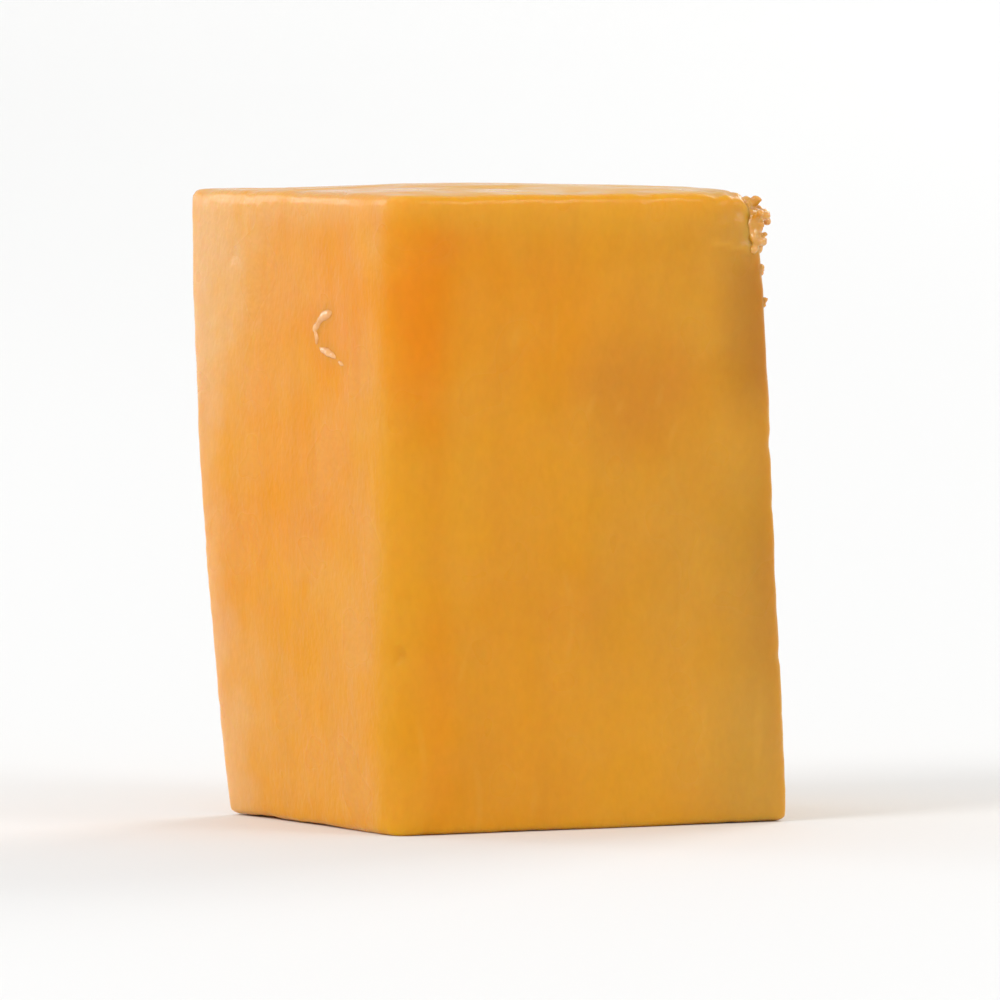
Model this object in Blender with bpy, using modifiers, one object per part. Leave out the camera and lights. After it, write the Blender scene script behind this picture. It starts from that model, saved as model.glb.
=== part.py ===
"""A hand-cut block of ripe papaya flesh, peeled and seeded, standing on one of its knife cuts.

The block keeps the fruit's own directions. X runs out through the flesh, from the side that faced the
seed cavity (-X) to the side that was peeled (+X). Z runs along the fruit and Y across it. Metres, +Z up.
"""

import math

import bmesh
import bpy
import numpy as np

NAME = "papaya_cube"
MM = 0.001

# The block's size half-way up, where the leaning cuts are at their mean distance.
THROUGH_FLESH = 28.4 * MM
ACROSS_FRUIT = 26.4 * MM
ALONG_FRUIT = 41.5 * MM

# How far each cut drifts outwards from the foot to the top of the block.
CAVITY_DRIFT = 0.6 * MM
SKIN_DRIFT = -3.0 * MM
FRONT_DRIFT = 1.7 * MM
BACK_DRIFT = 4.2 * MM
# How far the top cut falls from the cavity side to the peeled side, and from the front to the back.
TOP_FALL_TO_SKIN = 0.2 * MM
TOP_FALL_TO_BACK = 0.45 * MM

# The peeled side follows the fruit's curve in a few strokes, side by side, and is domed a little along it.
FRUIT_RADIUS = 62.0 * MM
PEEL_STROKES = 3
PEEL_DOME = 0.7 * MM
# The cavity side was trimmed with one stroke, which bowed out at the back, over a faint hollow.
CAVITY_BOW_AT_BACK = 0.7 * MM
CAVITY_HOLLOW = 0.35 * MM
# The knife drew the front cut a little hollow and left the top cut a little crowned.
FRONT_HOLLOW = 0.25 * MM
TOP_CROWN = 0.35 * MM

# Soft flesh has no sharp edges, and the one between cavity side and front is the most worn.
EDGE_WIDTH = 0.6 * MM
WORN_EDGE_WIDTH = 1.9 * MM
FOOT_EDGE_WIDTH = 0.5 * MM
EDGE_SEGMENTS = 4

# The top corner between the front and the peeled side broke away. How far the break reaches from that
# corner, how deep it goes there, and which way.
BREAK_REACH = 6.0 * MM
BREAK_DEPTH = 0.9 * MM
BREAK_INWARDS = (-1.0, 0.8, -0.7)

# Cells along each side of the mesh. It is a multiple of PEEL_STROKES, so that strokes meet on a line.
CELLS = 12

FLESH_COLOUR = (0.73, 0.29, 0.035, 1.0)
FLESH_ROUGHNESS = 0.38


def clear_scene():
    for obj in list(bpy.data.objects):
        bpy.data.objects.remove(obj, do_unlink=True)


def knife_cut(outward, reach, drift_per_metre):
    """One cut as a plane (normal, distance). It passes reach away from the block's middle, and drifts
    outwards by drift_per_metre for each metre that a point moves along each axis."""
    normal = np.array(outward, float) - np.array(drift_per_metre, float)
    middle = np.array((0.0, 0.0, ALONG_FRUIT / 2))
    return normal, reach + normal @ middle


def all_cuts():
    """The six cuts, keyed by axis and by the side of the block that they are on."""
    rise = 1 / ALONG_FRUIT
    half_x, half_y, half_z = THROUGH_FLESH / 2, ACROSS_FRUIT / 2, ALONG_FRUIT / 2
    top_slope = (-TOP_FALL_TO_SKIN / THROUGH_FLESH, -TOP_FALL_TO_BACK / ACROSS_FRUIT, 0)
    return {
        (0, -1): knife_cut((-1, 0, 0), half_x, (0, 0, CAVITY_DRIFT * rise)),
        (0, 1): knife_cut((1, 0, 0), half_x, (0, 0, SKIN_DRIFT * rise)),
        (1, -1): knife_cut((0, -1, 0), half_y, (0, 0, FRONT_DRIFT * rise)),
        (1, 1): knife_cut((0, 1, 0), half_y, (0, 0, BACK_DRIFT * rise)),
        (2, -1): knife_cut((0, 0, -1), half_z, (0, 0, 0)),
        (2, 1): knife_cut((0, 0, 1), half_z, top_slope),
    }


def block_corners():
    """Where three cuts meet, for each of the eight corners, keyed by the corner's signs."""
    cuts = all_cuts()
    corners = {}
    for signs in [(x, y, z) for x in (-1, 1) for y in (-1, 1) for z in (-1, 1)]:
        planes = [cuts[(axis, sign)] for axis, sign in enumerate(signs)]
        corners[signs] = np.linalg.solve([p[0] for p in planes], [p[1] for p in planes])
    return corners


def peeled_bulge(v):
    """How far the peeled side stands out at v, from -1 to 1 across it: flat strokes that join points of
    the fruit's round."""
    ends = np.linspace(-1, 1, PEEL_STROKES + 1)
    chord = ACROSS_FRUIT / 2
    sagitta = np.sqrt(FRUIT_RADIUS**2 - (ends * chord) ** 2) - math.sqrt(FRUIT_RADIUS**2 - chord**2)
    return float(np.interp(v, ends, sagitta))


def place(unit, corners):
    """A point of the block for a point of the unit cube, whose coordinates run from -1 to 1."""
    u, v, w = unit
    point = np.zeros(3)
    for signs, corner in corners.items():
        shares = [(1 + sign * t) / 2 for sign, t in zip(signs, unit)]
        point += math.prod(shares) * corner
    arch_u, arch_v, arch_w = 1 - u * u, 1 - v * v, 1 - w * w
    peeled = peeled_bulge(v) + PEEL_DOME * arch_v * arch_w
    cavity = CAVITY_BOW_AT_BACK * (1 + v) / 2 * arch_w - CAVITY_HOLLOW * arch_v
    point[0] += (1 + u) / 2 * peeled - (1 - u) / 2 * cavity
    point[1] += (1 - v) / 2 * FRONT_HOLLOW * arch_u * arch_w
    point[2] += (1 + w) / 2 * TOP_CROWN * arch_u * arch_v
    return point


def edge_width(unit_a, unit_b):
    """How softly the stretch from a to b is rounded: not at all, unless it lies on an edge of the block."""
    on = [
        (axis, round(a))
        for axis, (a, b) in enumerate(zip(unit_a, unit_b))
        if abs(a - b) < 1e-6 and abs(abs(a) - 1) < 1e-6
    ]
    if len(on) < 2:
        return 0.0
    if (2, -1) in on:
        return FOOT_EDGE_WIDTH
    return WORN_EDGE_WIDTH if on == [(0, -1), (1, -1)] else EDGE_WIDTH


def block_mesh(mesh):
    """Divides the primitive cube's mesh into a grid, moves it to the cuts and marks the edges to round.
    Gives the width that a fully marked edge is rounded by."""
    bm = bmesh.new()
    bm.from_mesh(mesh)
    bmesh.ops.subdivide_edges(bm, edges=bm.edges[:], cuts=CELLS - 1, use_grid_fill=True)
    weights = bm.edges.layers.float.new("bevel_weight_edge")
    widest = max(EDGE_WIDTH, WORN_EDGE_WIDTH, FOOT_EDGE_WIDTH)
    for edge in bm.edges:
        edge[weights] = edge_width(edge.verts[0].co, edge.verts[1].co) / widest
    corners = block_corners()
    for vert in bm.verts:
        vert.co = place(vert.co, corners)
    bm.to_mesh(mesh)
    bm.free()
    return widest


def flesh_material():
    material = bpy.data.materials.new("papaya_flesh")
    material.use_nodes = True
    shader = material.node_tree.nodes["Principled BSDF"]
    shader.inputs["Base Color"].default_value = FLESH_COLOUR
    shader.inputs["Roughness"].default_value = FLESH_ROUGHNESS
    shader.inputs["Metallic"].default_value = 0.0
    return material


def apply_modifiers(obj):
    graph = bpy.context.evaluated_depsgraph_get()
    finished = bpy.data.meshes.new_from_object(obj.evaluated_get(graph))
    obj.modifiers.clear()
    obj.data = finished


def break_corner(points):
    """Sinks the points near the broken corner, most at the corner itself."""
    corner = block_corners()[(1, -1, 1)]
    near = np.clip(1 - np.linalg.norm(points - corner, axis=1) / BREAK_REACH, 0, 1)
    inwards = np.array(BREAK_INWARDS) / np.linalg.norm(BREAK_INWARDS)
    return points + BREAK_DEPTH * (near**2)[:, None] * inwards


def stand_on_origin(points):
    """Moves the points so that the foot is at z 0 and its box is centred on the Z axis."""
    low, high = points.min(axis=0), points.max(axis=0)
    return points - ((low[0] + high[0]) / 2, (low[1] + high[1]) / 2, low[2])


def papaya_block():
    bpy.ops.mesh.primitive_cube_add(size=2)
    obj = bpy.context.object
    obj.name = obj.data.name = NAME
    rounding = obj.modifiers.new("soft_edges", "BEVEL")
    rounding.limit_method = "WEIGHT"
    rounding.width = block_mesh(obj.data)
    rounding.segments = EDGE_SEGMENTS
    apply_modifiers(obj)
    points = np.array([vert.co for vert in obj.data.vertices])
    points = stand_on_origin(break_corner(points))
    obj.data.vertices.foreach_set("co", points.ravel())
    obj.data.update()
    obj.data.shade_smooth()
    obj.data.materials.append(flesh_material())
    return obj


def main():
    clear_scene()
    collection = bpy.data.collections.new(NAME)
    bpy.context.scene.collection.children.link(collection)
    block = papaya_block()
    for other in list(block.users_collection):
        other.objects.unlink(block)
    collection.objects.link(block)


main()
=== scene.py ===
"""The looks of the papaya cube: moist, hand-cut flesh with torn pulp at one corner and runs of juice.

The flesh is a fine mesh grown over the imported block, so it keeps the block's size and place. Lengths are
millimetres while the pieces are made and in their materials' noise. Finished objects, the lights and the
camera are in metres.
"""

import math

import bmesh
import bpy
import numpy as np
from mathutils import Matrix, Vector, kdtree, noise
from mathutils.bvhtree import BVHTree


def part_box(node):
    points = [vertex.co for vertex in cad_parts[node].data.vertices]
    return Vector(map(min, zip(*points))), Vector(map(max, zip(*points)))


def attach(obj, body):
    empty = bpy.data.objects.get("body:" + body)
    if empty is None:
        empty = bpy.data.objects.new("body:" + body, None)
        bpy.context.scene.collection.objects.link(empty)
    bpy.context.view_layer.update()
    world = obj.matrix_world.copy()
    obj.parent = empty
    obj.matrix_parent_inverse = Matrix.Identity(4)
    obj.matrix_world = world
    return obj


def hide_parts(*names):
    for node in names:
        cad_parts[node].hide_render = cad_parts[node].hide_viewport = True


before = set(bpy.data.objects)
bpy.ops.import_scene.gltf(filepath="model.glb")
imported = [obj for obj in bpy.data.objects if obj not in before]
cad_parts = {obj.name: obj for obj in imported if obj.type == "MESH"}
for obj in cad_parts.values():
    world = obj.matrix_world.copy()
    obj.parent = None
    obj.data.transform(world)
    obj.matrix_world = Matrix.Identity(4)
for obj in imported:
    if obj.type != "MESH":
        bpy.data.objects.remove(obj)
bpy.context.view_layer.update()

MM = 0.001
NODE = "papaya_cube"
BODY = "root"
LOW, HIGH = (np.array(corner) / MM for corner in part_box(NODE))
SIZE = HIGH - LOW


def at(x, y, z):
    """The point at these shares of the block's box, in millimetres."""
    return LOW + SIZE * np.array((x, y, z))


# ---------------------------------------------------------------- meshes

RELAX_SHARE = 0.5


def vectors_of(items, name):
    """One vector of each of a mesh's items, as the rows of an array."""
    found = np.empty(len(items) * 3, np.float32)
    items.foreach_get(name, found)
    return found.reshape(-1, 3).astype(float)


def points_of(mesh):
    return vectors_of(mesh.vertices, "co")


def normals_of(mesh):
    return vectors_of(mesh.vertices, "normal")


def set_points(mesh, points):
    mesh.vertices.foreach_set("co", points.astype(np.float32).ravel())
    mesh.update()


def edges_of(mesh):
    found = np.empty(len(mesh.edges) * 2, np.int32)
    mesh.edges.foreach_get("vertices", found)
    return found.reshape(-1, 2)


def linked(name, data):
    obj = bpy.data.objects.new(name, data)
    bpy.context.scene.collection.objects.link(obj)
    return obj


def even_mesh(obj, cell):
    """Replaces the object's mesh by an even one of square cells, which also joins what overlaps."""
    remesh = obj.modifiers.new("even_cells", "REMESH")
    remesh.mode = "VOXEL"
    remesh.voxel_size = cell
    graph = bpy.context.evaluated_depsgraph_get()
    mesh = bpy.data.meshes.new_from_object(obj.evaluated_get(graph))
    obj.modifiers.clear()
    obj.data = mesh
    mesh.name = obj.name
    return mesh


def relaxed(points, edges, rounds, share=RELAX_SHARE):
    """The points after they have moved towards the mean of their neighbours, this many times."""
    ends = np.concatenate([edges, edges[:, ::-1]])
    count = np.bincount(ends[:, 0], minlength=len(points))[:, None]
    for _ in range(rounds):
        total = np.stack(
            [np.bincount(ends[:, 0], points[ends[:, 1], axis], len(points)) for axis in range(3)], axis=1
        )
        points = points + share * (total / count - points)
    return points


def write_colours(mesh, name, colours):
    """Keeps a colour for each point of the mesh, as a vector that its material reads."""
    made = mesh.attributes.new(name, "FLOAT_VECTOR", "POINT")
    made.data.foreach_set("vector", colours.astype(np.float32).ravel())


# ---------------------------------------------------------------- relief of the flesh

# The fine mesh: its cells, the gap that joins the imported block's faces, how often its facets are softened,
# and the gaps between the sides in its flat layout.
CELL = 0.28
MERGE_GAP = 0.001
SOFTENING_ROUNDS = 3
ATLAS_GAP = 2.0

# Which points lie on an edge: those whose normals lean at least this far towards two sides. Which corner is
# torn: the right, front, top one.
EDGE_TILT = 0.45
TORN_CORNER = (1.0, -1.0, 1.0)

# Where all random draws start, and how far apart two seeds lie in the noise.
SEED = 11
SEED_SHIFT = 37.7

# How far the relief may stand out or lie in.
RELIEF_LIMIT = 0.6

# How far from the worn edge the flesh is rounded off, how often, and how far from its two ends that starts.
WEAR_REACH = 4.5
WEAR_ROUNDS = 90
WEAR_END = 3.5

# Layers of noise, each with its strength, its wavelength in millimetres (one, or one per axis) and its seed.
# In the relief, the strengths are heights in millimetres.
SWELL = [(0.11, 13.0, 1), (0.04, 5.5, 2)]
GRAIN = [(0.016, (0.9, 0.9, 1.4), 6), (0.016, (2.2, 2.2, 6.0), 7)]
EDGE_WAVES = [(0.05, 3.1, 8), (0.04, 1.1, 9)]
TORN_LUMPS = [(0.28, 1.4, 10), (0.16, 0.8, 11)]
DENT_UNEVENNESS = [(0.6, 1.3, 14)]

# The knife's lines: the way that the blade went over the side that faces along each axis, low or high, how
# far a side has to face that way, how the lines sway and how long they run, and the noise step of the
# patches where they show best, with how strong they are between those.
KNIFE_WAYS = {
    (0, -1): (0.05, 0.15, 1.0),
    (0, 1): (0.0, 0.1, 1.0),
    (1, -1): (1.0, 0.0, 0.34),
    (1, 1): (1.0, 0.0, -0.22),
    (2, -1): (1.0, 0.3, 0.0),
    (2, 1): (0.45, 1.0, 0.0),
}
KNIFE_FACING = (0.75, 0.95)
KNIFE_HEIGHT = 0.022
KNIFE_LINES = [(1.0, 1.3, 3), (0.5, 0.7, 4)]
KNIFE_SWAY, KNIFE_SWAY_LENGTH = 0.9, 17
KNIFE_LINE_LENGTH = 26
KNIFE_PATCHES, KNIFE_PATCH_STEP = [(1.0, 9.0, 5)], (-0.1, 0.6)
KNIFE_BETWEEN = 0.15

# The soft edges: how far their unevenness reaches, and how deep they lie.
EDGE_REACH, EDGE_SINK = 1.3, 0.02

# Nicks in the edges, and pits in the sides: how many, their radii, and how deep for their radius.
NICK_COUNT, NICK_RADII, NICK_DEPTHS = 44, (0.5, 1.2), (0.05, 0.15)
PIT_COUNT, PIT_RADII, PIT_DEPTHS = 60, (0.5, 1.8), (0.015, 0.06)

# The break at the worn top corner: how far it reaches, how far it is full, and how deep it lies.
TORN_REACH, TORN_FULL, TORN_SINK = 4.6, 0.8, 0.12

# A fibre that lies on the front cut: its two ends as shares of the block's box, its spread and its height.
FIBRE_START, FIBRE_END = (0.755, 0.0, 0.915), (0.850, 0.0, 0.900)
FIBRE_SPREAD, FIBRE_HEIGHT = 0.36, 0.07


def field(points, wavelength, seed):
    """Smooth noise from -1 to 1 at each point. wavelength is in millimetres, one number or one per axis."""
    moved = points / np.array(wavelength) + SEED_SHIFT * seed
    return np.array([noise.noise(Vector(point)) for point in moved])


def layered(points, layers):
    """The sum of some layers of noise at each point."""
    return sum(strength * field(points, wavelength, seed) for strength, wavelength, seed in layers)


def smooth(values, low, high):
    """0 below low, 1 above high, and a smooth step between. high may be the lower one."""
    share = np.clip((values - low) / (high - low), 0, 1)
    return share * share * (3 - 2 * share)


def distance_to(points, some):
    """How far each point is from the nearest of some other points."""
    tree = kdtree.KDTree(len(some))
    for index, point in enumerate(some):
        tree.insert(point, index)
    tree.balance()
    return np.array([tree.find(point)[2] for point in points])


def block_surface():
    """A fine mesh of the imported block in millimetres, lying on it, with its facets softened."""
    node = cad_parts[NODE]
    mesh = node.data.copy()
    set_points(mesh, points_of(mesh) / MM)
    shape = bmesh.new()
    shape.from_mesh(mesh)
    bmesh.ops.remove_doubles(shape, verts=shape.verts[:], dist=MERGE_GAP)
    packed = BVHTree.FromBMesh(shape)
    shape.to_mesh(mesh)
    shape.free()
    obj = linked("papaya_flesh", mesh)
    mesh = even_mesh(obj, CELL)
    points = np.array([packed.find_nearest(point)[0] for point in points_of(mesh)])
    set_points(mesh, relaxed(points, edges_of(mesh), SOFTENING_ROUNDS))
    return obj


def find_edges(points, normals):
    """Which points lie on any edge of the block, and which on its worn edge."""
    on_edge = np.sort(np.abs(normals), axis=1)[:, 1] > EDGE_TILT
    return on_edge, on_edge & (normals[:, :2] < -EDGE_TILT).all(axis=1)


def wear_down(mesh, to_worn_edge):
    """Rounds off the worn edge, except near its two ends."""
    points = points_of(mesh)
    from_end = np.minimum(points[:, 2] - LOW[2], HIGH[2] - points[:, 2])
    share = RELAX_SHARE * smooth(to_worn_edge, WEAR_REACH, 0.0) * smooth(from_end, 0.0, WEAR_END)
    set_points(mesh, relaxed(points, edges_of(mesh), WEAR_ROUNDS, share[:, None]))


def atlas_cells():
    """Where each side of the block lies in the flat layout: its two axes, and its cell's lowest corner."""
    rows = [[(0, -1), (0, 1), (1, -1)], [(1, 1), (2, -1), (2, 1)]]
    cells, lowest_v = {}, ATLAS_GAP
    for row in rows:
        lowest_u = ATLAS_GAP
        for side in row:
            across, up = [axis for axis in range(3) if axis != side[0]]
            cells[side] = (across, up, lowest_u, lowest_v)
            lowest_u += SIZE[across] + ATLAS_GAP
        lowest_v += SIZE[2] + ATLAS_GAP
    return cells


def lay_out_flat(mesh):
    """Gives the mesh a flat layout of the block's six sides, for baking its materials."""
    cells = atlas_cells()
    widest = max(u + SIZE[across] for across, up, u, v in cells.values()) + ATLAS_GAP
    points = points_of(mesh)
    layer = mesh.uv_layers.new(name="OFBake").uv
    for face in mesh.polygons:
        axis = int(np.argmax(np.abs(face.normal)))
        across, up, u, v = cells[(axis, 1 if face.normal[axis] > 0 else -1)]
        for corner in face.loop_indices:
            point = points[mesh.loops[corner].vertex_index] - LOW
            layer[corner].vector = ((u + point[across]) / widest, (v + point[up]) / widest)


def knife_lines(points, normals):
    """Faint ridges that the blade drew, in patches. Each side has its own part of the noise."""
    height = np.zeros(len(points))
    for (axis, sign), way in KNIFE_WAYS.items():
        facing = smooth(normals[:, axis] * sign, *KNIFE_FACING)
        on = facing > 0
        way = np.array(way) / np.linalg.norm(way)
        along, beside = points[on] @ way, points[on] @ np.cross(np.eye(3)[axis], way)
        beside = beside + KNIFE_SWAY * np.sin(along / KNIFE_SWAY_LENGTH)
        own_part = np.full(on.sum(), 3.0 * axis + sign)
        drawn_out = np.stack([beside, along / KNIFE_LINE_LENGTH, own_part], axis=1)
        height[on] += facing[on] * layered(drawn_out, KNIFE_LINES)
    patches = smooth(layered(points, KNIFE_PATCHES), *KNIFE_PATCH_STEP)
    return KNIFE_HEIGHT * height * (KNIFE_BETWEEN + patches)


def dents(points, places, radii, depths):
    """Uneven dents around places, as a height."""
    height = np.zeros(len(points))
    uneven = layered(points, DENT_UNEVENNESS)
    for place, radius, depth in zip(places, radii, depths):
        near = np.clip(1 + uneven - ((points - place) ** 2).sum(axis=1) / radius**2, 0, 1)
        height -= depth * near**2
    return height


def drawn_dents(draw, points, places, count, radii, depths):
    """This many dents at random ones of the places, with random radii, and depths for their radius."""
    chosen = places[draw.integers(len(places), size=count)]
    radii = draw.uniform(*radii, count)
    return dents(points, chosen, radii, radii * draw.uniform(*depths, count))


def edge_relief(points, to_edge, edge_points):
    """The uneven line of the soft edges, with small nicks."""
    line = smooth(to_edge, EDGE_REACH, 0.0) * (layered(points, EDGE_WAVES) - EDGE_SINK)
    draw = np.random.default_rng(SEED)
    return line + drawn_dents(draw, points, edge_points, NICK_COUNT, NICK_RADII, NICK_DEPTHS)


def pits(points):
    """A few shallow pits and soft bruises on the sides."""
    draw = np.random.default_rng(SEED + 1)
    return drawn_dents(draw, points, points, PIT_COUNT, PIT_RADII, PIT_DEPTHS)


def torn_relief(points, to_corner):
    """The crumbly break at the worn top corner."""
    return smooth(to_corner, TORN_REACH, TORN_FULL) * (layered(points, TORN_LUMPS) - TORN_SINK)


def on_fibre(points):
    """1 along the fibre on the front cut, and 0 beside it and on the block's other sides."""
    start, end = at(*FIBRE_START), at(*FIBRE_END)
    along = np.clip((points - start) @ (end - start) / ((end - start) @ (end - start)), 0, 1)
    away = points - start - along[:, None] * (end - start)
    return smooth(np.hypot(away[:, 0], away[:, 2]), FIBRE_SPREAD, 0.0) * smooth(points[:, 1], 0, -1)


def flesh_relief(points, normals, on_edge, to_edge, to_corner):
    """How far the flesh stands out from the block at each point."""
    height = (
        layered(points, SWELL)
        + knife_lines(points, normals)
        + layered(points, GRAIN)
        + edge_relief(points, to_edge, points[on_edge])
        + pits(points)
        + torn_relief(points, to_corner)
        + FIBRE_HEIGHT * on_fibre(points)
    )
    return np.clip(height, -RELIEF_LIMIT, RELIEF_LIMIT)


# ---------------------------------------------------------------- colours of the flesh

def rgb(red, green, blue):
    """An opaque colour for a shader's socket."""
    return (red, green, blue, 1.0)


DEEP = rgb(0.728, 0.242, 0.0002)
INNER = rgb(0.707, 0.286, 0.007)
MIDDLE = rgb(0.675, 0.293, 0.011)
OUTER = rgb(0.622, 0.288, 0.020)
UNDER_SKIN = rgb(0.533, 0.260, 0.023)
# A dark tone, painted as shade on the front cut's right edge.
RIGHT_EDGE_SHADE = rgb(0.430, 0.172, 0.012)
BRUISE = rgb(0.597, 0.218, 0.011)
OLIVE = rgb(0.580, 0.308, 0.040)
# A golden tone: the flesh's own in some patches, and a painted highlight along the top edges.
GOLD = rgb(0.710, 0.338, 0.017)
BLUSH = rgb(0.715, 0.264, 0.034)
# A pale tone: that of the peeled side's strands, and a painted sheen, reflected light, on the side of the
# seed cavity.
PALE_STRAND_AND_SHEEN = rgb(0.735, 0.425, 0.182)
PEELED = rgb(0.710, 0.375, 0.035)
# A yellower tone, painted as the highlight that the rounded worn edge catches.
WORN_EDGE_HIGHLIGHT = rgb(0.672, 0.325, 0.012)
FIBRE = rgb(0.740, 0.385, 0.045)
TORN = rgb(0.800, 0.430, 0.105)
PULP_DEEP = rgb(0.620, 0.285, 0.018)
PULP_PALE = rgb(0.700, 0.365, 0.085)

# The flesh through the fruit, from the seed cavity to under the skin: share of the way, colour.
THROUGH = [(0.0, INNER), (0.45, MIDDLE), (0.8, OUTER), (0.97, UNDER_SKIN)]

# Soft patches of colour in the flesh: colour, centre as shares of the block's box, radii, strength.
PATCHES = [
    (DEEP, (0.11, 0.0, 0.81), (4.4, 5.0, 10.0), 1.0),
    (DEEP, (0.10, 0.0, 0.20), (3.0, 3.0, 9.0), 0.5),
    (DEEP, (0.40, 0.0, 0.80), (5.0, 4.0, 5.0), 0.4),
    (BRUISE, (0.57, 0.0, 0.68), (5.0, 4.0, 5.0), 0.6),
    (BRUISE, (0.45, 0.0, 0.36), (3.0, 3.0, 5.0), 0.2),
    # Painted highlight: a paler golden band along the top of the front cut, where light from above falls.
    (GOLD, (0.50, 0.0, 1.0), (13.0, 12.0, 2.6), 0.9),
    (GOLD, (0.12, 0.0, 1.0), (6.5, 3.0, 2.4), 0.8),
    (GOLD, (0.62, 0.0, 0.13), (6.5, 4.0, 8.0), 0.55),
    (GOLD, (0.18, 0.0, 0.55), (2.3, 3.0, 17.0), 0.5),
    (OLIVE, (0.92, 0.0, 0.12), (6.0, 6.0, 9.0), 0.7),
    (OLIVE, (0.84, 0.0, 0.95), (4.0, 6.0, 2.5), 0.15),
    # Painted shade: darker patches down the right edge of the front cut.
    (RIGHT_EDGE_SHADE, (0.885, 0.0, 0.80), (3.6, 1.6, 8.0), 0.8),
    (RIGHT_EDGE_SHADE, (0.925, 0.02, 0.36), (3.0, 1.7, 13.0), 0.4),
    (DEEP, (0.10, 0.85, 0.35), (6.0, 5.0, 9.0), 0.5),
    (BRUISE, (0.60, 1.0, 0.60), (6.0, 4.0, 7.0), 0.4),
    (TORN, (0.865, 0.02, 0.95), (2.0, 2.3, 2.8), 0.4),
]

# What the side of the seed cavity shows: a painted pale sheen, reflected light, in bands down its back edge
# and along its top, with redder flesh between them.
CAVITY_PATCHES = [
    (BLUSH, (0.0, 0.58, 0.84), (3.0, 5.0, 7.0), 0.65),
    (PALE_STRAND_AND_SHEEN, (0.0, 1.0, 0.97), (3.0, 11.5, 15.0), 0.85),
    (PALE_STRAND_AND_SHEEN, (0.0, 1.0, 0.50), (3.0, 4.7, 20.0), 0.7),
    (PALE_STRAND_AND_SHEEN, (0.0, 1.0, 0.11), (3.0, 9.5, 13.0), 0.8),
    (PALE_STRAND_AND_SHEEN, (0.0, 0.45, 1.0), (3.0, 14.0, 2.6), 0.5),
    (DEEP, (0.0, 0.26, 0.80), (2.5, 6.5, 8.0), 0.85),
    (DEEP, (0.0, 0.52, 0.56), (2.5, 9.0, 10.0), 0.5),
]

# What the peeled side shows, over its own paler tone.
PEELED_PATCHES = [
    (OLIVE, (1.0, 0.80, 0.25), (3.0, 4.5, 13.0), 0.6),
    (OLIVE, (1.0, 0.15, 0.60), (3.0, 3.5, 9.0), 0.4),
    (GOLD, (1.0, 0.40, 0.35), (3.0, 5.0, 8.0), 0.6),
    (MIDDLE, (1.0, 0.60, 0.85), (4.0, 6.0, 6.0), 0.5),
]

# How far out a patch's colour starts and is full, for its radii.
PATCH_RIM, PATCH_FULL = 1.35, 0.25

# Noise in the colours: how far it shifts the way through the flesh, bends the patches' rims, and makes the
# rims of the cavity side's patches ragged, the painted sheen among them, and how much it changes red, green
# and blue.
SLOW_DRIFT = [(1.0, 9.0, 20)]
CLOUDS = [(1.0, 4.2, 21), (0.4, 1.9, 22)]
RAGGED_CAVITY_RIMS = [(0.22, (2.4, 2.4, 4.0), 24), (0.10, 1.1, 25)]
DRIFT_THROUGH, DRIFT_WARP, CLOUD_WARP = 0.10, 0.22, 0.10
CLOUD_TINT = (0.012, 0.036, 0.05)

# How far a side has to face the skin to show the peeled side's tones, and that side's pale strands.
PEELED_FACING = (0.55, 0.95)
STRANDS, STRAND_STEP = [(1.0, (3.0, 0.9, 17.0), 23)], (0.2, 0.6)

# How much of each tone lies over what is under it.
PEELED_SHARE, STRAND_SHARE, WORN_HIGHLIGHT_SHARE, TOP_HIGHLIGHT_SHARE, FIBRE_SHARE = 0.8, 0.22, 0.6, 0.3, 0.35

# The painted highlight along the worn edge, a yellower tone where the rounded edge catches light: how far it
# reaches, and where it fades out, as shares of the block's height.
WORN_HIGHLIGHT_REACH = 3.0
WORN_HIGHLIGHT_LOW, WORN_HIGHLIGHT_HIGH = 0.58, 0.74

# The painted highlight along the top edges, a paler tone where light from above falls: how far it reaches,
# and the share of the block's height where it starts.
TOP_HIGHLIGHT_REACH, TOP_HIGHLIGHT_LOW = 1.4, 0.85


def blended(colours, share, tone):
    """The colours, moved towards one tone by the share at each point."""
    return colours + share[:, None] * (np.array(tone[:3]) - colours)


def through_tones(share):
    """The colour at each share of the way through the flesh."""
    places, tones = zip(*THROUGH)
    return np.stack([np.interp(share, places, channel) for channel in zip(*tones)][:3], axis=1)


def patched(colours, patches, points, warp):
    """The colours, with soft uneven patches over them."""
    for tone, centre, radii, strength in patches:
        away = np.linalg.norm((points - at(*centre)) / radii, axis=1) + warp
        colours = blended(colours, strength * smooth(away, PATCH_RIM, PATCH_FULL), tone)
    return colours


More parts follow.
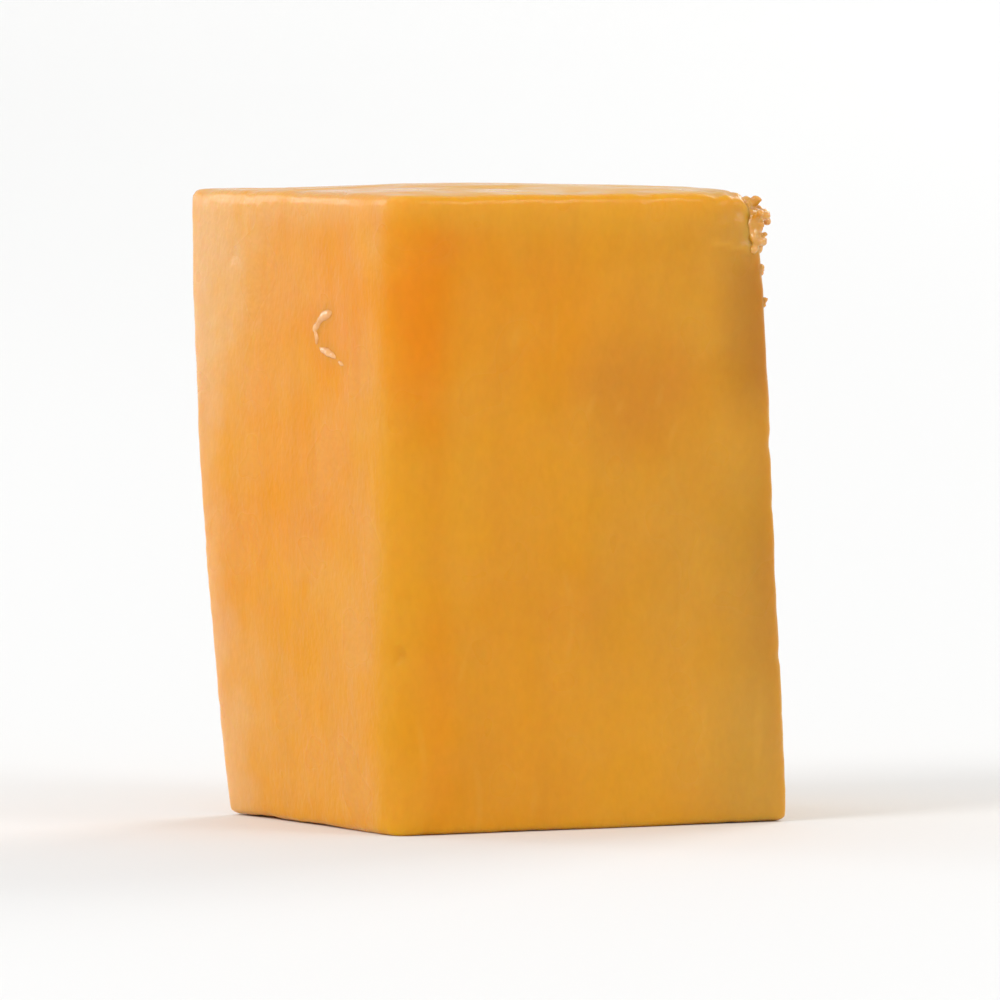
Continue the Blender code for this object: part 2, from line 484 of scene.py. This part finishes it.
def flesh_tones(points, normals, to_edge, to_worn_edge):
    """The colour of the flesh at each point: deep orange by the seed cavity, through golden orange, to a
    paler yellow under the skin, with soft patches, some of them painted shade, sheen and highlight, and
    painted highlights along the top edges and the worn edge."""
    drift, clouds = layered(points, SLOW_DRIFT), layered(points, CLOUDS)
    share_through, _, share_up = ((points - LOW) / SIZE).T
    colours = through_tones(share_through + DRIFT_THROUGH * drift)

    peeled = smooth(normals[:, 0], *PEELED_FACING)
    strands = smooth(layered(points, STRANDS), *STRAND_STEP)
    colours = blended(colours, PEELED_SHARE * peeled, PEELED)
    colours = blended(colours, STRAND_SHARE * peeled * strands, PALE_STRAND_AND_SHEEN)

    warp = DRIFT_WARP * drift + CLOUD_WARP * clouds
    colours = patched(colours, PATCHES + PEELED_PATCHES, points, warp)
    # The cavity side's patches, among them its painted sheen.
    colours = patched(colours, CAVITY_PATCHES, points, warp + layered(points, RAGGED_CAVITY_RIMS))

    # Painted highlights on the worn edge and along the top edges.
    worn_highlight = smooth(to_worn_edge, WORN_HIGHLIGHT_REACH, 0.0) * smooth(share_up, WORN_HIGHLIGHT_HIGH, WORN_HIGHLIGHT_LOW)
    top_highlight = smooth(to_edge, TOP_HIGHLIGHT_REACH, 0.0) * smooth(share_up, TOP_HIGHLIGHT_LOW, 1.0)
    colours = blended(colours, WORN_HIGHLIGHT_SHARE * worn_highlight, WORN_EDGE_HIGHLIGHT)
    colours = blended(colours, TOP_HIGHLIGHT_SHARE * top_highlight, GOLD)
    colours = blended(colours, FIBRE_SHARE * on_fibre(points), FIBRE)
    return colours * (1 + clouds[:, None] * CLOUD_TINT)


# ---------------------------------------------------------------- the flesh

def make_flesh():
    """The flesh, and the point of its torn corner in millimetres."""
    obj = block_surface()
    mesh = obj.data
    lay_out_flat(mesh)
    points = points_of(mesh)
    on_edge, on_worn_edge = find_edges(points, normals_of(mesh))
    to_edge = distance_to(points, points[on_edge])
    to_worn_edge = distance_to(points, points[on_worn_edge])
    corner = points[np.argmax(points @ np.array(TORN_CORNER))]
    to_corner = np.linalg.norm(points - corner, axis=1)
    wear_down(mesh, to_worn_edge)
    points, normals = points_of(mesh), normals_of(mesh)
    write_colours(mesh, "tone", flesh_tones(points, normals, to_edge, to_worn_edge))
    height = flesh_relief(points, normals, on_edge, to_edge, to_corner)
    points = points + normals * height[:, None]
    points[:, 2] = np.maximum(points[:, 2], LOW[2])
    set_points(mesh, points * MM)
    mesh.shade_smooth()
    return obj, corner


# ---------------------------------------------------------------- torn pulp and juice

PULP_CELL, JUICE_CELL = 0.08, 0.06
PULP_GRAIN = [(0.13, 0.75, 12), (0.06, 0.32, 13)]
JUICE_RIPPLE = [(0.07, 0.45, 15)]
BALL_SMOOTHING_ROUNDS = 4

# A lump of pulp: the way it hangs, how thick its balls are for it, how far apart they are for their radius,
# how far each strays, and how much the lump tapers.
TORN_WAY = np.array((1.0, -0.2, -0.25))
BALL_SIZES, BALL_STEP, BALL_STRAY, LUMP_TAPER = (0.75, 1.2), 0.6, 0.5, 0.2

# The lumps that hang out of the broken corner. They root between the first and the last distance below its
# point, a little to its right and behind it. How far one reaches is drawn, then multiplied by a factor that
# is highest, the peak, where they are longest, and loses the fade with each millimetre away from there.
LUMP_COUNT, LUMP_FIRST, LUMP_LONGEST, LUMP_LAST = 30, 0.3, 1.2, 3.3
LUMP_RIGHT, LUMP_BEHIND = 0.1, (-0.2, 1.3)
LUMP_STRAY, LUMP_REACH, LUMP_PEAK, LUMP_FADE = 0.45, (0.15, 1.3), 1.35, 0.5
LUMP_THICKNESS = (0.20, 0.46)

# The bits of pulp down the edge below it. They root this far below its point, and further right the lower
# they are. A bit's thickness is drawn, then multiplied by a factor that is the peak at the point, and loses
# the fade with each millimetre below it. Its length is drawn as a multiple of its thickness.
BIT_FALLS = (4.4, 4.9, 6.6, 6.9)
BIT_RIGHT, BIT_DRIFT, BIT_BEHIND = 0.4, 0.07, (-0.2, 0.5)
BIT_STRAY, BIT_THICKNESS, BIT_PEAK, BIT_FADE = 0.4, (0.14, 0.25), 1.2, 1 / 16
BIT_LENGTH = (0.3, 1.3)

# The runs of juice on the cavity side. For each bead that a run goes through: its place, as shares of the
# block's box across and up, and its radius.
JUICE_RUNS = [
    [(0.336, 0.808, 0.20), (0.350, 0.805, 0.40), (0.368, 0.801, 0.42), (0.386, 0.795, 0.24),
     (0.396, 0.787, 0.30), (0.410, 0.781, 0.30), (0.404, 0.774, 0.16), (0.398, 0.766, 0.24),
     (0.402, 0.758, 0.14)],
    [(0.386, 0.752, 0.12), (0.370, 0.748, 0.26), (0.348, 0.745, 0.34), (0.330, 0.742, 0.28),
     (0.316, 0.739, 0.12)],
    [(0.302, 0.733, 0.10), (0.290, 0.730, 0.18), (0.276, 0.728, 0.12)],
]
JUICE_STEP = 0.06
JUICE_SINK = 0.45


def surface_tree(obj):
    mesh = obj.data
    return BVHTree.FromPolygons(points_of(mesh) / MM, [face.vertices[:] for face in mesh.polygons])


def joined_balls(name, balls, cell, relief):
    """One smooth piece that wraps all the balls (centre, radius), with a fine relief."""
    shape = bmesh.new()
    for centre, radius in balls:
        made = bmesh.ops.create_icosphere(shape, subdivisions=2, radius=max(radius, cell))["verts"]
        bmesh.ops.translate(shape, verts=made, vec=centre)
    mesh = bpy.data.meshes.new(name)
    shape.to_mesh(mesh)
    shape.free()
    obj = linked(name, mesh)
    mesh = even_mesh(obj, cell)
    set_points(mesh, relaxed(points_of(mesh), edges_of(mesh), BALL_SMOOTHING_ROUNDS))
    points = points_of(mesh)
    set_points(mesh, (points + normals_of(mesh) * layered(points, relief)[:, None]) * MM)
    mesh.shade_smooth()
    return obj


def lump(draw, root, way, reach, thickness):
    """Balls of one soft lump of pulp, which hangs together from its root on the flesh out to its reach."""
    point, gone, balls = np.array(root), 0.0, []
    while gone < reach:
        radius = thickness * draw.uniform(*BALL_SIZES) * (1 - LUMP_TAPER * gone / reach)
        balls.append((point, radius))
        step = BALL_STEP * radius
        point = point + step * (way / np.linalg.norm(way) + draw.normal(size=3) * BALL_STRAY)
        gone += step
    return balls


def corner_lumps(draw, tree, corner):
    """The ragged pulp that hangs out of the broken corner, in lumps that run into each other."""
    balls = []
    for fall in np.linspace(LUMP_FIRST, LUMP_LAST, LUMP_COUNT):
        root = tree.find_nearest(corner + (LUMP_RIGHT, draw.uniform(*LUMP_BEHIND), -fall))[0]
        way = TORN_WAY + draw.normal(size=3) * LUMP_STRAY
        reach = draw.uniform(*LUMP_REACH) * (LUMP_PEAK - LUMP_FADE * abs(fall - LUMP_LONGEST))
        balls += lump(draw, root, way, reach, draw.uniform(*LUMP_THICKNESS))
    return balls


def edge_bits(draw, tree, corner):
    """Small bits of pulp down the edge below the broken corner, thinner further down."""
    balls = []
    for fall in BIT_FALLS:
        right = BIT_RIGHT + fall * BIT_DRIFT
        root = tree.find_nearest(corner + (right, draw.uniform(*BIT_BEHIND), -fall))[0]
        way = TORN_WAY + draw.normal(size=3) * BIT_STRAY
        thickness = draw.uniform(*BIT_THICKNESS) * (BIT_PEAK - fall * BIT_FADE)
        balls += lump(draw, root, way, thickness * draw.uniform(*BIT_LENGTH), thickness)
    return balls


def make_shreds(flesh, corner):
    """The torn pulp at the corner and down its edge, as one piece."""
    draw = np.random.default_rng(SEED + 2)
    tree = surface_tree(flesh)
    balls = corner_lumps(draw, tree, corner) + edge_bits(draw, tree, corner)
    return joined_balls("papaya_shreds", balls, PULP_CELL, PULP_GRAIN)


def along_run(beads):
    """A bead for every short step along a run through these ones."""
    beads = np.array(beads)
    moves = np.linalg.norm(np.diff(beads[:, :2], axis=0) * SIZE[1:], axis=1)
    gone = np.concatenate([[0], np.cumsum(moves)])
    steps = np.arange(0, gone[-1], JUICE_STEP)
    return np.stack([np.interp(steps, gone, column) for column in beads.T], axis=1)


def make_juice(flesh):
    """The runs of juice, which lie half sunk in the side of the seed cavity."""
    tree = surface_tree(flesh)
    balls = []
    for across, up, radius in np.concatenate([along_run(run) for run in JUICE_RUNS]):
        point, normal = tree.ray_cast(Vector(at(-0.1, across, up)), Vector((1, 0, 0)))[:2]
        balls.append((np.array(point) - JUICE_SINK * radius * np.array(normal), radius))
    return joined_balls("juice_beads", balls, JUICE_CELL, JUICE_RIPPLE)


# ---------------------------------------------------------------- materials

# How far red, green and blue light scatter in the flesh and in the pulp, as multiples of the scatter scale.
SCATTER = (1.0, 0.42, 0.12)
FLESH_SCATTER_SCALE = 2.2 * MM
PULP_SCATTER_SCALE = 0.4 * MM

# The fine marks in the flesh: their wavelengths in millimetres, and how much they change its colour.
GRAIN_SIZE, STREAK_SIZE, BUNDLE_SIZE = (0.5, 0.5, 0.8), (1.6, 1.6, 10.0), (1.9, 1.9, 24.0)
GRAIN_CONTRAST, STREAK_CONTRAST, BUNDLE_CONTRAST = 0.09, 0.06, 0.16
BUNDLE_SWAY, BUNDLE_SWAY_SIZE = (2.5, 2.5, 0.0), 6.0
FINE_BUMP_SIZE, FINE_BUMP_HEIGHT, FINE_BUMP_STRENGTH = (0.40, 0.40, 0.6), 0.08 * MM, 0.55
WET_PATCH_SIZE = 4.5

# The two tones that the juice's mottling goes between, both painted lighter than the flesh for the light
# that a clear drop would gather.
JUICE_GLOW_DARK, JUICE_GLOW_LIGHT = rgb(0.76, 0.35, 0.10), rgb(0.82, 0.43, 0.16)


class Tree:
    """A material's node tree, with a short method for each kind of node that is used here."""

    def __init__(self, name):
        self.material = bpy.data.materials.new(name)
        self.material.use_nodes = True
        self.tree = self.material.node_tree
        self.shader = self.tree.nodes["Principled BSDF"]

    def feed(self, socket, value):
        """Links a node's output to the socket, or sets the socket's own value."""
        if isinstance(value, bpy.types.NodeSocket):
            self.tree.links.new(value, socket)
        else:
            socket.default_value = value

    def add(self, kind, inputs=None, **settings):
        made = self.tree.nodes.new("ShaderNode" + kind)
        for name, value in settings.items():
            setattr(made, name, value)
        for name, value in (inputs or {}).items():
            self.feed(made.inputs[name], value)
        return made

    def maths(self, operation, a, b):
        return self.add("Math", {0: a, 1: b}, operation=operation).outputs[0]

    def vector(self, operation, a, b):
        second = "Scale" if operation == "SCALE" else 1
        return self.add("VectorMath", {0: a, second: b}, operation=operation).outputs[0]

    def step(self, value, low, high, to_low=0.0, to_high=1.0):
        """A smooth step from to_low, where the value is low, to to_high, where it is high."""
        limits = {"From Min": low, "From Max": high, "To Min": to_low, "To Max": to_high}
        made = self.add("MapRange", {"Value": value, **limits}, interpolation_type="SMOOTHSTEP")
        return made.outputs["Result"]

    def noise(self, point, wavelength, detail=2.0, rough=0.5):
        """Noise from 0 to 1. wavelength is one number or one per axis."""
        size = np.broadcast_to(wavelength, 3)
        scaled = self.vector("DIVIDE", point, tuple(float(side) for side in size))
        inputs = {"Vector": scaled, "Scale": 1.0, "Detail": detail, "Roughness": rough}
        return self.add("TexNoise", inputs).outputs[0]

    def mix(self, share, a, b):
        return self.add("Mix", {0: share, 6: a, 7: b}, data_type="RGBA").outputs[2]

    def attribute(self, name):
        return self.add("Attribute", attribute_name=name).outputs["Vector"]

    def place(self):
        """The point on the piece, in millimetres."""
        here = self.add("TexCoord").outputs["Object"]
        return self.vector("DIVIDE", here, (MM, MM, MM))

    def set(self, **values):
        """Sets the shader's own inputs, named with _ for a space."""
        for name, value in values.items():
            self.feed(self.shader.inputs[name.replace("_", " ")], value)


def centred(t, value, amount):
    """A value from 0 to 1 as one from -amount / 2 to amount / 2."""
    return t.maths("MULTIPLY", t.maths("SUBTRACT", value, 0.5), amount)


def bundles(t, point):
    """1 along the thin bundles of fibre that run up the flesh, which a cut across shows as dots."""
    sway = t.vector("MULTIPLY", t.noise(point, BUNDLE_SWAY_SIZE, detail=0.0), BUNDLE_SWAY)
    scaled = t.vector("DIVIDE", t.vector("ADD", point, sway), BUNDLE_SIZE)
    cells = t.add("TexVoronoi", {"Vector": scaled, "Scale": 1.0, "Randomness": 1.0})
    return t.step(cells.outputs["Distance"], 0.22, 0.06)


def flesh_colour(t, point):
    """The tone of each place, with fine grain, soft streaks and pale bundles of fibre along the fruit."""
    grain = t.noise(point, GRAIN_SIZE, detail=1.0)
    streaks = t.noise(point, STREAK_SIZE, detail=0.0)
    value = t.maths("ADD", centred(t, grain, GRAIN_CONTRAST), centred(t, streaks, STREAK_CONTRAST))
    lit = t.vector("SCALE", t.attribute("tone"), t.maths("ADD", value, 1.0))
    return t.mix(t.maths("MULTIPLY", bundles(t, point), BUNDLE_CONTRAST), lit, FIBRE)


def flesh_bump(t, point):
    fine = t.noise(point, FINE_BUMP_SIZE, detail=1.0, rough=0.6)
    inputs = {"Height": fine, "Strength": FINE_BUMP_STRENGTH, "Distance": FINE_BUMP_HEIGHT}
    return t.add("Bump", inputs).outputs[0]


def flesh_material():
    """Moist flesh that light sinks into, with a thin film of juice on its wetter places."""
    t = Tree("papaya_flesh")
    point = t.place()
    wet = t.noise(point, WET_PATCH_SIZE, detail=1.0)
    t.set(
        Base_Color=flesh_colour(t, point),
        Roughness=t.step(wet, 0.3, 0.7, 0.26, 0.42),
        IOR=1.36,
        Specular_IOR_Level=0.22,
        Subsurface_Weight=0.7,
        Subsurface_Scale=FLESH_SCATTER_SCALE,
        Subsurface_Radius=SCATTER,
        Coat_Weight=t.step(wet, 0.75, 0.35, 0.0, 0.35),
        Coat_Roughness=0.10,
        Coat_IOR=1.34,
        Normal=flesh_bump(t, point),
    )
    return t.material


def pulp_material():
    """Torn flesh: paler, because light passes right through the thin lumps."""
    t = Tree("papaya_shreds")
    point = t.place()
    share = t.step(t.noise(point, 0.9, detail=2.0), 0.35, 0.65)
    t.set(
        Base_Color=t.mix(share, PULP_DEEP, PULP_PALE),
        Roughness=t.step(t.noise(point, 0.5), 0.3, 0.7, 0.25, 0.4),
        IOR=1.38,
        Subsurface_Weight=0.6,
        Subsurface_Scale=PULP_SCATTER_SCALE,
        Subsurface_Radius=SCATTER,
        Coat_Weight=0.8,
        Coat_Roughness=0.09,
    )
    return t.material


def juice_material():
    """Opaque juice, painted a little lighter than the flesh that it lies on for the light that a clear drop
    would gather, in mottled tones.
    """
    t = Tree("papaya_juice")
    juice_mottle = t.noise(t.place(), 0.5, detail=1.0)
    t.set(
        Base_Color=t.mix(t.step(juice_mottle, 0.3, 0.7), JUICE_GLOW_DARK, JUICE_GLOW_LIGHT),
        Roughness=t.step(juice_mottle, 0.2, 0.8, 0.08, 0.16),
        IOR=1.36,
        Coat_Weight=0.5,
        Coat_Roughness=0.05,
    )
    return t.material


# ---------------------------------------------------------------- stage, light and camera

VIEW_TURN = -28.5
VIEW_RISE = 3.2
VIEW_DISTANCE = 1.2
VIEW_HEIGHT = 66.0 * MM
CLIP_START, CLIP_END = 0.01, 20.0
WORLD_WHITE, WORLD_STRENGTH = rgb(1.0, 1.0, 1.0), 0.70

PAPER, PAPER_FIBRE = rgb(0.86, 0.86, 0.855), rgb(0.7, 0.7, 0.69)
PAPER_FLAT_RADIUS = 1.4
PAPER_BEND_RADIUS = 0.3
PAPER_BEND_POINTS = 12
PAPER_SPIN_STEPS = 96
PAPER_MERGE_GAP = 0.0001

# The square soft lights: name, turn and rise in degrees, distance and side in metres, watts.
LIGHTS = [
    ("key", -78, 36, 2.0, 0.8, 14.2),
    ("fill", 32, 22, 2.0, 0.8, 8.6),
    ("sheen", -150, 16, 0.9, 0.35, 1.1),
    ("back", 122, 28, 2.0, 0.8, 10.0),
]


def direction(turn, rise):
    """The unit vector from the block towards a viewer, in degrees. Turn 0 faces the front cut."""
    turn, rise = math.radians(turn), math.radians(rise)
    return Vector(
        (math.sin(turn) * math.cos(rise), -math.cos(turn) * math.cos(rise), math.sin(rise))
    )


def aim(obj, target):
    obj.rotation_euler = (target - obj.location).to_track_quat("-Z", "Y").to_euler()


def make_camera(target):
    data = bpy.data.cameras.new("camera")
    data.angle = 2 * math.atan(VIEW_HEIGHT / 2 / VIEW_DISTANCE)
    data.clip_start, data.clip_end = CLIP_START, CLIP_END
    camera = linked("camera", data)
    camera.location = target + VIEW_DISTANCE * direction(VIEW_TURN, VIEW_RISE)
    aim(camera, target)
    bpy.context.scene.camera = camera


def soft_light(name, turn, rise, distance, side, watts, target):
    data = bpy.data.lights.new(name, "AREA")
    data.shape, data.size, data.energy = "SQUARE", side, watts
    light = linked(name, data)
    light.location = target + distance * direction(turn, rise)
    light.visible_camera = False
    aim(light, target)


def paper_material():
    t = Tree("stage_paper")
    share = t.step(t.noise(t.place(), 0.8, detail=3.0), 0.3, 0.7, 0.0, 0.02)
    t.set(Base_Color=t.mix(share, PAPER, PAPER_FIBRE), Roughness=0.75)
    return t.material


def make_stage():
    """A round of pale paper whose rim curves up behind every view."""
    bend = [
        (
            PAPER_FLAT_RADIUS + PAPER_BEND_RADIUS * math.sin(angle),
            PAPER_BEND_RADIUS * (1 - math.cos(angle)),
        )
        for angle in np.linspace(0, math.pi / 2, PAPER_BEND_POINTS)
    ]
    shape = bmesh.new()
    verts = [shape.verts.new((x, 0, z)) for x, z in [(0.0, 0.0), *bend]]
    edges = [shape.edges.new(pair) for pair in zip(verts, verts[1:])]
    bmesh.ops.spin(
        shape,
        geom=verts + edges,
        axis=(0, 0, 1),
        cent=(0, 0, 0),
        angle=2 * math.pi,
        steps=PAPER_SPIN_STEPS,
    )
    bmesh.ops.remove_doubles(shape, verts=shape.verts[:], dist=PAPER_MERGE_GAP)
    bmesh.ops.recalc_face_normals(shape, faces=shape.faces[:])
    mesh = bpy.data.meshes.new("stage_paper")
    shape.to_mesh(mesh)
    shape.free()
    mesh.shade_smooth()
    mesh.materials.append(paper_material())
    linked("stage_paper", mesh)


def make_world():
    world = bpy.data.worlds.new("studio")
    world.use_nodes = True
    background = world.node_tree.nodes["Background"]
    background.inputs["Color"].default_value = WORLD_WHITE
    background.inputs["Strength"].default_value = WORLD_STRENGTH
    bpy.context.scene.world = world


def make_studio():
    target = Vector(at(0.5, 0.5, 0.5) * MM)
    make_stage()
    make_world()
    for light in LIGHTS:
        soft_light(*light, target)
    make_camera(target)
    bpy.context.scene.view_settings.view_transform = "Standard"


def dress(piece, material):
    """Gives a piece its material and its place in the model."""
    piece.data.materials.clear()
    piece.data.materials.append(material)
    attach(piece, BODY)


def main():
    flesh, corner = make_flesh()
    shreds = make_shreds(flesh, corner)
    juice = make_juice(flesh)
    dress(flesh, flesh_material())
    dress(shreds, pulp_material())
    dress(juice, juice_material())
    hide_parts(NODE)
    make_studio()


main()
